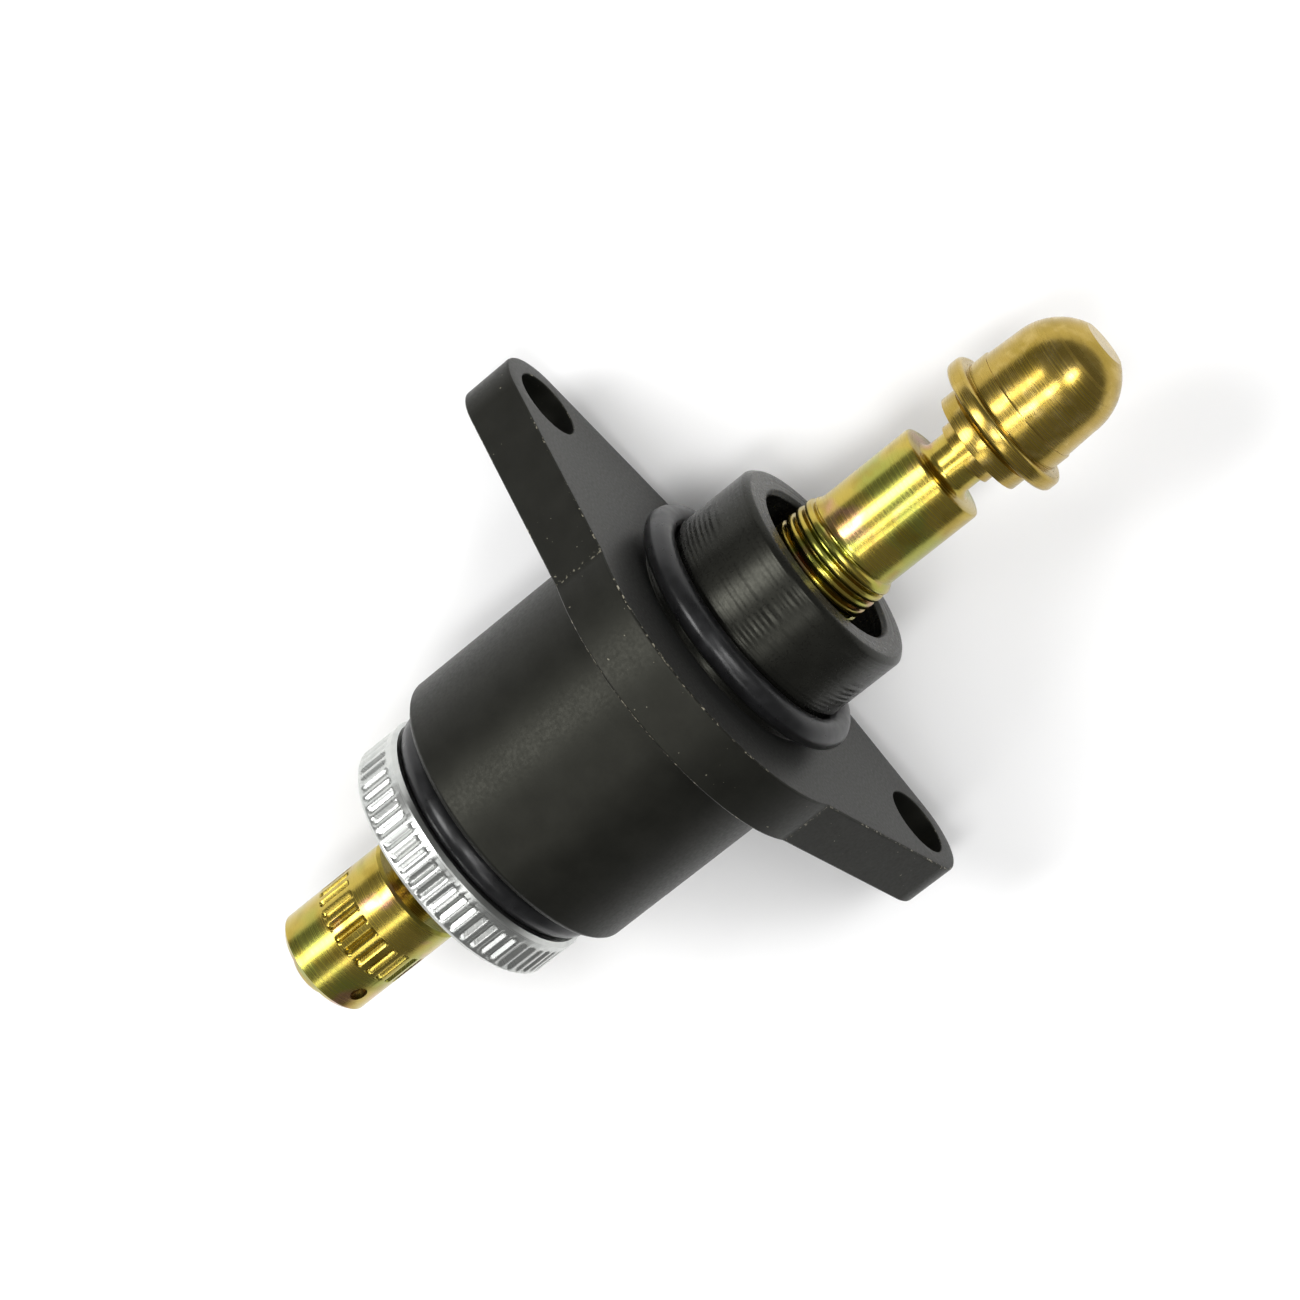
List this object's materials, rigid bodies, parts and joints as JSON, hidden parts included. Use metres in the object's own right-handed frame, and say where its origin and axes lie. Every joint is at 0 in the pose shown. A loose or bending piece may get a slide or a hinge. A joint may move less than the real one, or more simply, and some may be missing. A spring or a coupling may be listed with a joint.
{
  "type": "idle air control valve",
  "caption": "Hand-set idle air control valve: flanged black housing, screw spindle with a brass acorn pintle, knurled closing ring and rear adjuster knob.",
  "frame": {"origin": "on the valve's axis, in the plane of the flange's mounting face", "axes": "+X along the valve to the pintle's tip, Y along the flange's ears, which lean towards -Z"},
  "size_m": [0.0878, 0.058, 0.0334],
  "materials": {
    "black_plastic": "machined, satin",
    "black_rubber": "moulded, semi-gloss",
    "brass": "turned",
    "yellow_zinc": "turned, yellow passivated zinc",
    "bright_zinc": "knurled, bright zinc",
    "steel": "plain"
  },
  "bodies": {
    "housing": {"housing": "black_plastic", "flange_seal": "black_rubber", "thread_insert": "brass", "ring_seal": "black_rubber", "lock_ring": "bright_zinc", "gland_seal": "black_rubber", "gland_washer": "steel", "gland_clip": "steel"},
    "pintle": {"pintle": "brass"},
    "spindle": {"spindle": "yellow_zinc", "adjuster_knob": "yellow_zinc", "knob_pin": "steel"}
  },
  "joints": [
    {"name": "pintle_travel", "type": "slide", "parent": "housing", "child": "pintle", "axis": [1, 0, 0], "range_m": [-0.01101, 0.00301]},
    {"name": "spindle_turn", "type": "hinge", "parent": "pintle", "child": "spindle", "pos_m": [0, 0, 0], "axis": [1, 0, 0], "range_deg": [-3960, 1080]}
  ],
  "couplings": [
    {"joint": "pintle_travel", "follows": "spindle_turn", "m_per_rad": 0.00015915}
  ]
}
